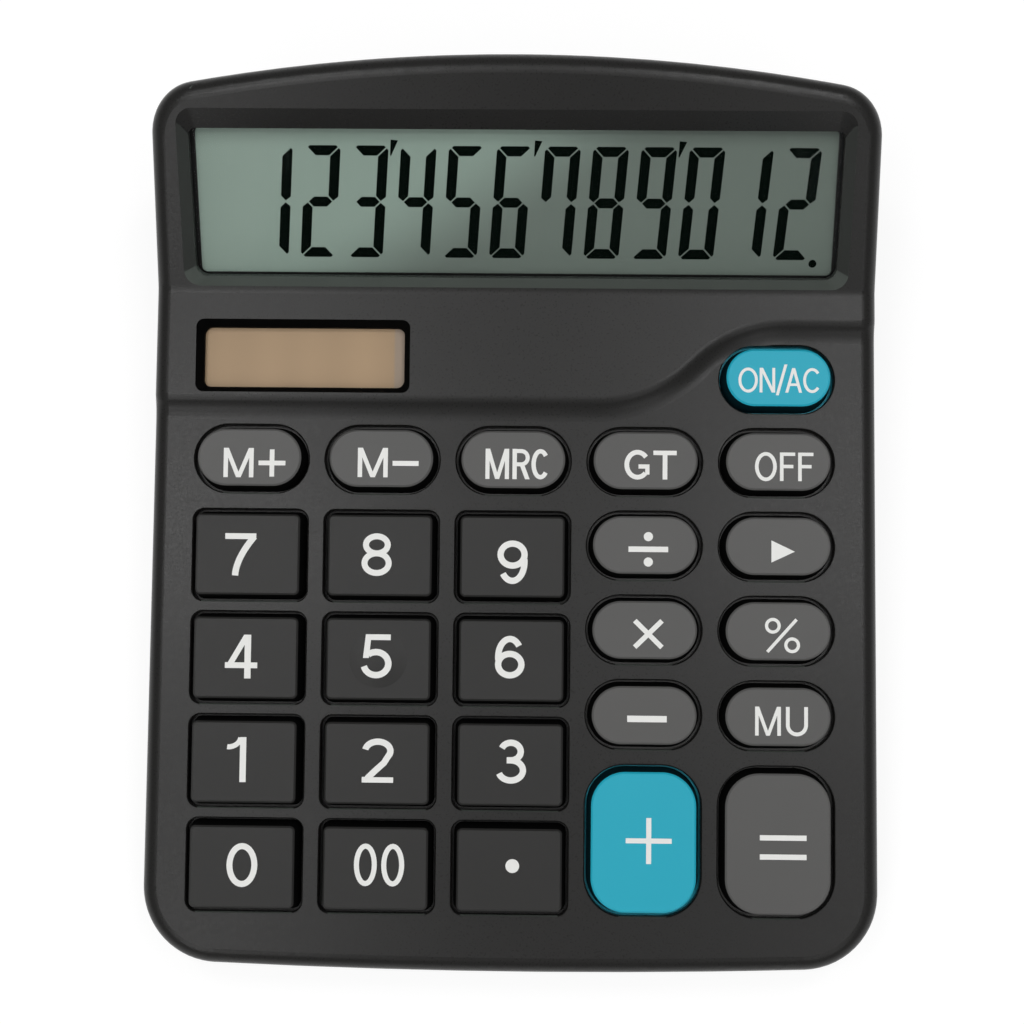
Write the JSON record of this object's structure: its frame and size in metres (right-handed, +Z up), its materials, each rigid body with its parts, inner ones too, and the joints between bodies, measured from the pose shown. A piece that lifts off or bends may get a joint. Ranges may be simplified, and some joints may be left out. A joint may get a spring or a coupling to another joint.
{
  "type": "desk calculator",
  "caption": "Desk calculator with a sloping key deck, tilted display head, solar window, sprung key caps and a hinged battery door in its base.",
  "frame": {"origin": "on the table under the middle of the case, in the plane of the rubber feet", "axes": "+X to the user's right, +Y from the front edge to the rear, +Z up"},
  "size_m": [0.1188, 0.1448, 0.0421],
  "materials": {
    "case_abs": "fine spark-eroded grain",
    "base_abs": "fine spark-eroded grain",
    "digit_key_abs": "satin, printed legends",
    "function_key_abs": "satin, printed legends",
    "accent_key_abs": "satin, printed legends",
    "silicone": "moulded, matt",
    "laminate": "phenolic paper laminate with solder resist",
    "epoxy": "cured drop",
    "capacitor_sleeve": "shrunk sleeve",
    "clear_acrylic": "polished",
    "lcd_glass": "polished float glass with polariser",
    "reflector_film": "grey-green foil",
    "holder_abs": "moulded",
    "ribbon_film": "polyester film with carbon tracks",
    "amorphous_silicon": "coated glass",
    "lead_insulation": "extruded",
    "battery_can": "plain sleeve",
    "spring_steel": "nickel plated",
    "screw_steel": "zinc plated",
    "foot_rubber": "moulded, matt"
  },
  "bodies": {
    "case": {"top_case": "case_abs", "bottom_case": "base_abs", "key_mat": "silicone", "circuit_board": "laminate", "chip_blob": "epoxy", "capacitor": "capacitor_sleeve", "display_lens": "clear_acrylic", "lcd_front_glass": "lcd_glass", "lcd_rear_glass": "lcd_glass", "lcd_reflector": "reflector_film", "lcd_holder": "holder_abs", "lcd_ribbon": "ribbon_film", "solar_window": "clear_acrylic", "solar_cell": "amorphous_silicon", "solar_leads": "lead_insulation", "battery_cell": "battery_can", "battery_plus_contact": "spring_steel", "battery_minus_spring": "spring_steel", "battery_leads": "lead_insulation", "case_screws": "screw_steel", "board_screws": "screw_steel", "holder_screws": "screw_steel", "rubber_feet": "foot_rubber"},
    "key_0": {"key_0": "digit_key_abs"},
    "key_00": {"key_00": "digit_key_abs"},
    "key_point": {"key_point": "digit_key_abs"},
    "key_1": {"key_1": "digit_key_abs"},
    "key_2": {"key_2": "digit_key_abs"},
    "key_3": {"key_3": "digit_key_abs"},
    "key_4": {"key_4": "digit_key_abs"},
    "key_5": {"key_5": "digit_key_abs"},
    "key_6": {"key_6": "digit_key_abs"},
    "key_7": {"key_7": "digit_key_abs"},
    "key_8": {"key_8": "digit_key_abs"},
    "key_9": {"key_9": "digit_key_abs"},
    "key_add": {"key_add": "accent_key_abs"},
    "key_on_clear": {"key_on_clear": "accent_key_abs"},
    "key_equals": {"key_equals": "function_key_abs"},
    "key_subtract": {"key_subtract": "function_key_abs"},
    "key_markup": {"key_markup": "function_key_abs"},
    "key_multiply": {"key_multiply": "function_key_abs"},
    "key_percent": {"key_percent": "function_key_abs"},
    "key_divide": {"key_divide": "function_key_abs"},
    "key_backspace": {"key_backspace": "function_key_abs"},
    "key_memory_plus": {"key_memory_plus": "function_key_abs"},
    "key_memory_minus": {"key_memory_minus": "function_key_abs"},
    "key_memory_recall": {"key_memory_recall": "function_key_abs"},
    "key_grand_total": {"key_grand_total": "function_key_abs"},
    "key_off": {"key_off": "function_key_abs"},
    "battery_door": {"battery_door": "base_abs"}
  },
  "joints": [
    {"name": "key_0_press", "type": "slide", "parent": "case", "child": "key_0", "axis": [0, 0.0924, -0.9957], "range_m": [0, 0.0018], "stiffness_N_per_m": 300, "deforming": ["key_mat"]},
    {"name": "key_00_press", "type": "slide", "parent": "case", "child": "key_00", "axis": [0, 0.0924, -0.9957], "range_m": [0, 0.0018], "stiffness_N_per_m": 300, "deforming": ["key_mat"]},
    {"name": "key_point_press", "type": "slide", "parent": "case", "child": "key_point", "axis": [0, 0.0924, -0.9957], "range_m": [0, 0.0018], "stiffness_N_per_m": 300, "deforming": ["key_mat"]},
    {"name": "key_1_press", "type": "slide", "parent": "case", "child": "key_1", "axis": [0, 0.0924, -0.9957], "range_m": [0, 0.0018], "stiffness_N_per_m": 300, "deforming": ["key_mat"]},
    {"name": "key_2_press", "type": "slide", "parent": "case", "child": "key_2", "axis": [0, 0.0924, -0.9957], "range_m": [0, 0.0018], "stiffness_N_per_m": 300, "deforming": ["key_mat"]},
    {"name": "key_3_press", "type": "slide", "parent": "case", "child": "key_3", "axis": [0, 0.0924, -0.9957], "range_m": [0, 0.0018], "stiffness_N_per_m": 300, "deforming": ["key_mat"]},
    {"name": "key_4_press", "type": "slide", "parent": "case", "child": "key_4", "axis": [0, 0.0924, -0.9957], "range_m": [0, 0.0018], "stiffness_N_per_m": 300, "deforming": ["key_mat"]},
    {"name": "key_5_press", "type": "slide", "parent": "case", "child": "key_5", "axis": [0, 0.0924, -0.9957], "range_m": [0, 0.0018], "stiffness_N_per_m": 300, "deforming": ["key_mat"]},
    {"name": "key_6_press", "type": "slide", "parent": "case", "child": "key_6", "axis": [0, 0.0924, -0.9957], "range_m": [0, 0.0018], "stiffness_N_per_m": 300, "deforming": ["key_mat"]},
    {"name": "key_7_press", "type": "slide", "parent": "case", "child": "key_7", "axis": [0, 0.0924, -0.9957], "range_m": [0, 0.0018], "stiffness_N_per_m": 300, "deforming": ["key_mat"]},
    {"name": "key_8_press", "type": "slide", "parent": "case", "child": "key_8", "axis": [0, 0.0924, -0.9957], "range_m": [0, 0.0018], "stiffness_N_per_m": 300, "deforming": ["key_mat"]},
    {"name": "key_9_press", "type": "slide", "parent": "case", "child": "key_9", "axis": [0, 0.0924, -0.9957], "range_m": [0, 0.0018], "stiffness_N_per_m": 300, "deforming": ["key_mat"]},
    {"name": "key_add_press", "type": "slide", "parent": "case", "child": "key_add", "axis": [0, 0.0924, -0.9957], "range_m": [0, 0.0018], "stiffness_N_per_m": 300, "deforming": ["key_mat"]},
    {"name": "key_on_clear_press", "type": "slide", "parent": "case", "child": "key_on_clear", "axis": [0, 0.0924, -0.9957], "range_m": [0, 0.0018], "stiffness_N_per_m": 300, "deforming": ["key_mat"]},
    {"name": "key_equals_press", "type": "slide", "parent": "case", "child": "key_equals", "axis": [0, 0.0924, -0.9957], "range_m": [0, 0.0018], "stiffness_N_per_m": 300, "deforming": ["key_mat"]},
    {"name": "key_subtract_press", "type": "slide", "parent": "case", "child": "key_subtract", "axis": [0, 0.0924, -0.9957], "range_m": [0, 0.0018], "stiffness_N_per_m": 300, "deforming": ["key_mat"]},
    {"name": "key_markup_press", "type": "slide", "parent": "case", "child": "key_markup", "axis": [0, 0.0924, -0.9957], "range_m": [0, 0.0018], "stiffness_N_per_m": 300, "deforming": ["key_mat"]},
    {"name": "key_multiply_press", "type": "slide", "parent": "case", "child": "key_multiply", "axis": [0, 0.0924, -0.9957], "range_m": [0, 0.0018], "stiffness_N_per_m": 300, "deforming": ["key_mat"]},
    {"name": "key_percent_press", "type": "slide", "parent": "case", "child": "key_percent", "axis": [0, 0.0924, -0.9957], "range_m": [0, 0.0018], "stiffness_N_per_m": 300, "deforming": ["key_mat"]},
    {"name": "key_divide_press", "type": "slide", "parent": "case", "child": "key_divide", "axis": [0, 0.0924, -0.9957], "range_m": [0, 0.0018], "stiffness_N_per_m": 300, "deforming": ["key_mat"]},
    {"name": "key_backspace_press", "type": "slide", "parent": "case", "child": "key_backspace", "axis": [0, 0.0924, -0.9957], "range_m": [0, 0.0018], "stiffness_N_per_m": 300, "deforming": ["key_mat"]},
    {"name": "key_memory_plus_press", "type": "slide", "parent": "case", "child": "key_memory_plus", "axis": [0, 0.0924, -0.9957], "range_m": [0, 0.0018], "stiffness_N_per_m": 300, "deforming": ["key_mat"]},
    {"name": "key_memory_minus_press", "type": "slide", "parent": "case", "child": "key_memory_minus", "axis": [0, 0.0924, -0.9957], "range_m": [0, 0.0018], "stiffness_N_per_m": 300, "deforming": ["key_mat"]},
    {"name": "key_memory_recall_press", "type": "slide", "parent": "case", "child": "key_memory_recall", "axis": [0, 0.0924, -0.9957], "range_m": [0, 0.0018], "stiffness_N_per_m": 300, "deforming": ["key_mat"]},
    {"name": "key_grand_total_press", "type": "slide", "parent": "case", "child": "key_grand_total", "axis": [0, 0.0924, -0.9957], "range_m": [0, 0.0018], "stiffness_N_per_m": 300, "deforming": ["key_mat"]},
    {"name": "key_off_press", "type": "slide", "parent": "case", "child": "key_off", "axis": [0, 0.0924, -0.9957], "range_m": [0, 0.0018], "stiffness_N_per_m": 300, "deforming": ["key_mat"]},
    {"name": "battery_door_hinge", "type": "hinge", "parent": "case", "child": "battery_door", "pos_m": [0, 0.05085, 0.001], "axis": [-1, 0, 0], "range_deg": [0, 60]}
  ]
}
